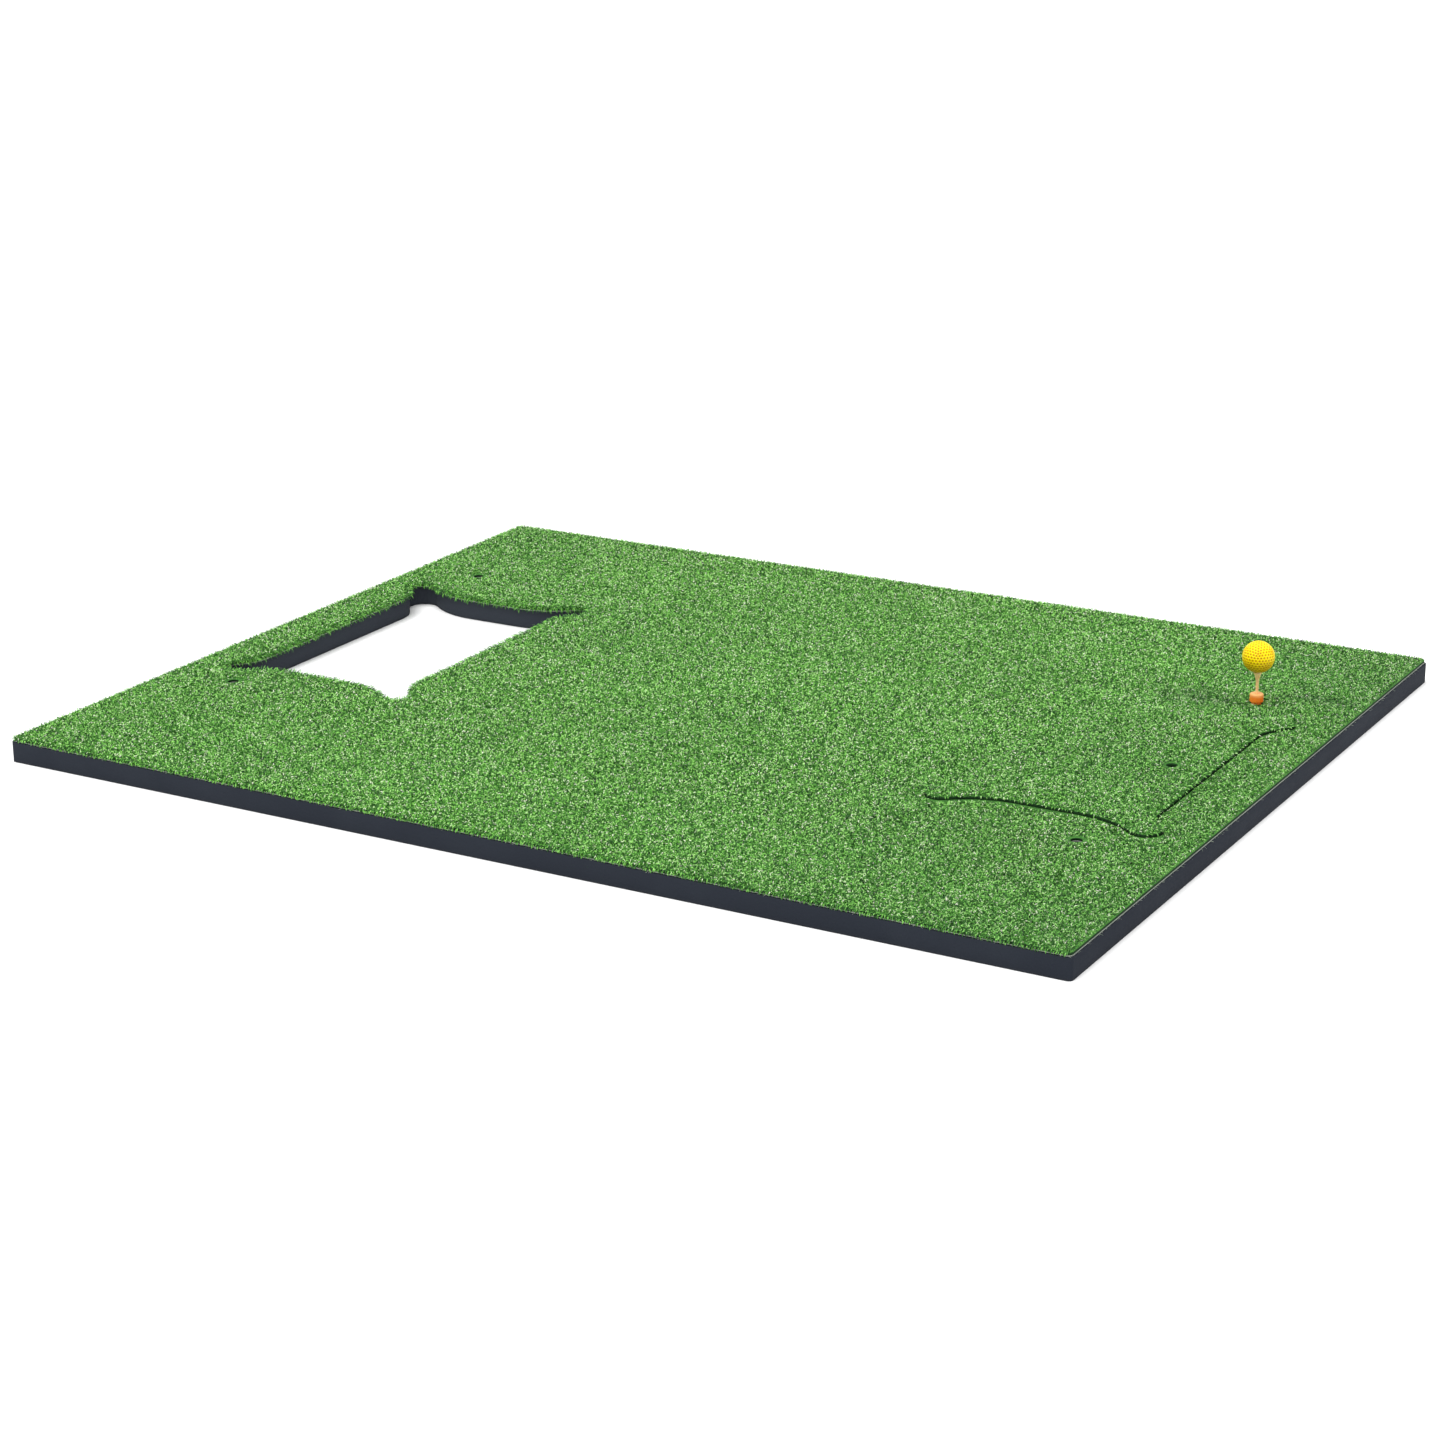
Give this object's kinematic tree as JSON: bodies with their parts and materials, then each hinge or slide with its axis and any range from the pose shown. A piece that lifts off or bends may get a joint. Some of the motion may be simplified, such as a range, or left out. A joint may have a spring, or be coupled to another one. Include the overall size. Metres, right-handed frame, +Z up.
{
  "type": "golf hitting mat",
  "caption": "Flat turf-covered foam mat with a hide-shaped open pocket, a drop-in turf insert, tee holes, and a ball on a tee in a rubber socket.",
  "frame": {"origin": "middle of the mat's footprint, on the floor under the foam pad", "axes": "+X along the long side, towards the side with the turf insert and the tee; +Y towards the back long edge; +Z up"},
  "size_m": [1.5, 1.2, 0.1182],
  "materials": {
    "foam": "matte",
    "turf_backing": "matte",
    "turf": "matte",
    "socket_rubber": "satin",
    "tee_plastic": "satin",
    "ball_plastic": "satin"
  },
  "bodies": {
    "mat": {"base_pad": "foam", "turf_backing": "turf_backing", "turf_pile": "turf"},
    "insert": {"insert_pad": "foam", "insert_backing": "turf_backing", "insert_pile": "turf"},
    "socket": {"tee_socket": "socket_rubber"},
    "tee": {"tee": "tee_plastic"},
    "ball": {"ball": "ball_plastic"}
  },
  "joints": [
    {"name": "insert_lift", "type": "slide", "parent": "mat", "child": "insert", "axis": [0, 0, 1], "range_m": [0, 0.06]},
    {"name": "socket_pull", "type": "slide", "parent": "mat", "child": "socket", "axis": [0, 0, 1], "range_m": [0, 0.045]},
    {"name": "tee_pull", "type": "slide", "parent": "socket", "child": "tee", "axis": [0, 0, 1], "range_m": [0, 0.035]},
    {"name": "ball_lift", "type": "slide", "parent": "tee", "child": "ball", "axis": [0, 0, 1], "range_m": [0, 0.06]}
  ]
}
